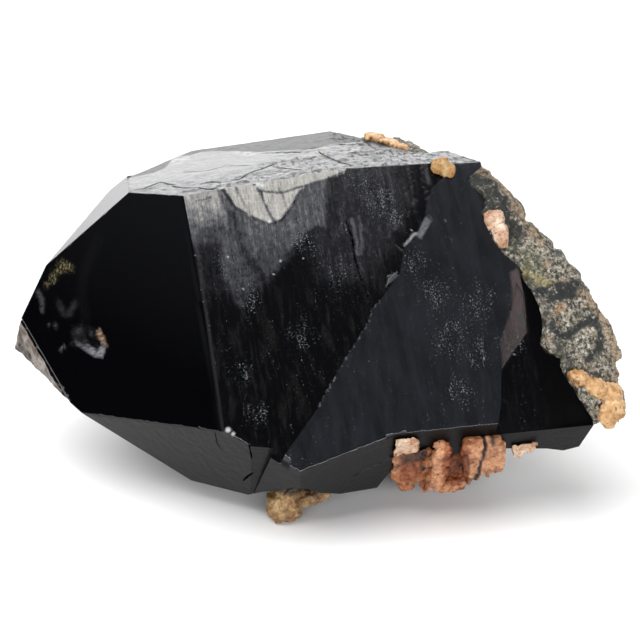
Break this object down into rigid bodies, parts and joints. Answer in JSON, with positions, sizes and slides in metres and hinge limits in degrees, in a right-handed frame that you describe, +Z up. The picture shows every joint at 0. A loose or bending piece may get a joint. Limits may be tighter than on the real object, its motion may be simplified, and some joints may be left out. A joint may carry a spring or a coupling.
{
  "type": "morion quartz crystal on matrix",
  "caption": "Stubby black quartz crystal with a pointed end, broken at the other end from a slab of granite, with bits of feldspar.",
  "frame": {"origin": "middle of the bounding box, on the ground", "axes": "+X along the length, from the pointed end to the broken end; +Y away from the face seen in the picture; +Z up"},
  "size_m": [0.0916, 0.0618, 0.0499],
  "materials": {
    "morion_quartz": "glassy natural faces, opaque black, finely lined across the length",
    "granite": "rough broken surface, speckled grey, tan and black",
    "orange_feldspar": "dull, slightly waxy breaks",
    "tan_feldspar": "dull, crumbly"
  },
  "bodies": {
    "root": {"morion_crystal": "morion_quartz", "granite_matrix": "granite", "feldspar_cluster": "orange_feldspar", "feldspar_crust": "orange_feldspar", "feldspar_knob": "tan_feldspar", "feldspar_grain": "tan_feldspar", "feldspar_top_patch": "tan_feldspar", "feldspar_edge_lump": "tan_feldspar", "feldspar_upper_chip": "tan_feldspar", "feldspar_right_chip": "tan_feldspar"}
  },
  "joints": []
}
